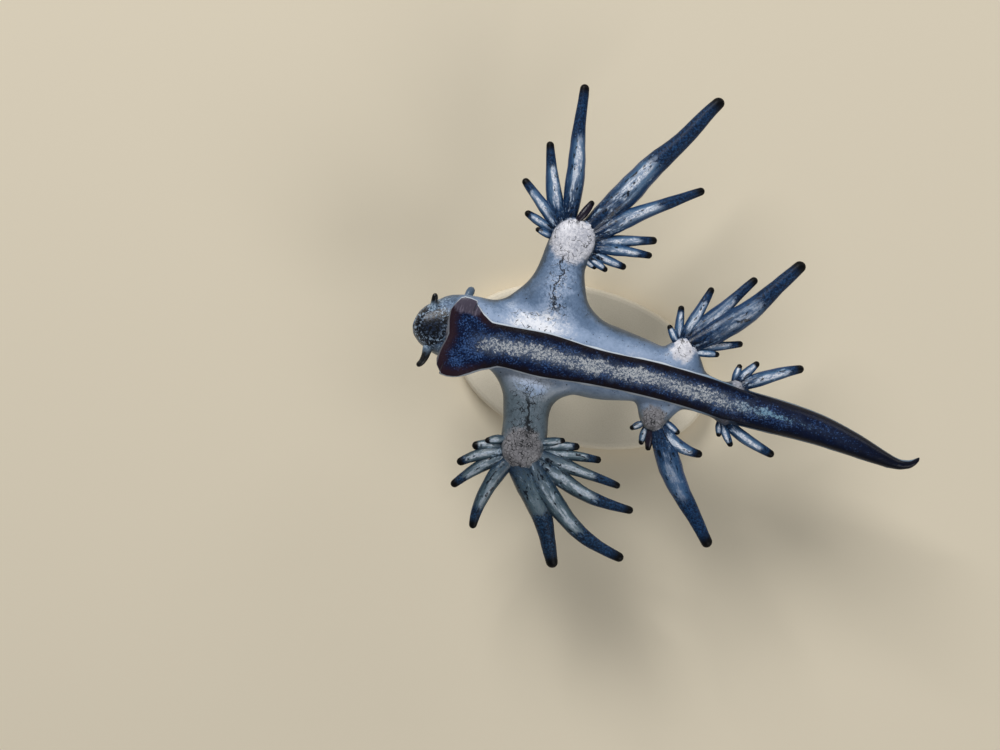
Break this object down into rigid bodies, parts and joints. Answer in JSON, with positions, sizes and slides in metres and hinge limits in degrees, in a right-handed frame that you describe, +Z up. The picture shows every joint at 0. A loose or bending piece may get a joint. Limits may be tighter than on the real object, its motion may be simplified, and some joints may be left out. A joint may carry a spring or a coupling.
{
  "type": "blue dragon sea slug",
  "caption": "Life-size blue dragon sea slug floating belly up, with feathered fans of cerata, held on a plain display stand.",
  "frame": {"origin": "centre of the underside of the stand's base, on the surface that the stand rests on", "axes": "+X from the head toward the tail, +Y toward the animal's left side, +Z up out of the dark sole of the foot, because the animal floats belly up"},
  "size_m": [0.0351, 0.0333, 0.011],
  "materials": {
    "head": "wet, blue-black crown with mottled silver-blue sides",
    "feelers": "wet, silver-blue with black tips",
    "silver_skin": "wet satin, silver-blue with pale granules and fine dark cracks",
    "tail": "wet, navy with scattered teal flecks and pale edges",
    "foot": "wet, deep navy with a silver speckled band and black-brown margins",
    "cerata": "wet, blue with a silver stripe and black tips",
    "stand_base": "pale, matte",
    "stand_rods": "satin steel"
  },
  "bodies": {
    "root": {"head": "head", "oral_tentacle_left": "feelers", "oral_tentacle_right": "feelers", "rhinophore_left": "feelers", "rhinophore_right": "feelers", "trunk_front": "silver_skin", "trunk_rear": "silver_skin", "tail": "tail", "tail_tip": "tail", "foot_front": "foot", "foot_rear": "foot", "arm_1_left": "silver_skin", "arm_1_right": "silver_skin", "cerata_1_left": "cerata", "cerata_1_right": "cerata", "cerata_2_left": "cerata", "cerata_2_right": "cerata", "cerata_3_left": "cerata", "cerata_3_right": "cerata", "stand_base": "stand_base", "stand_rod_front": "stand_rods", "stand_rod_rear": "stand_rods"}
  },
  "joints": []
}
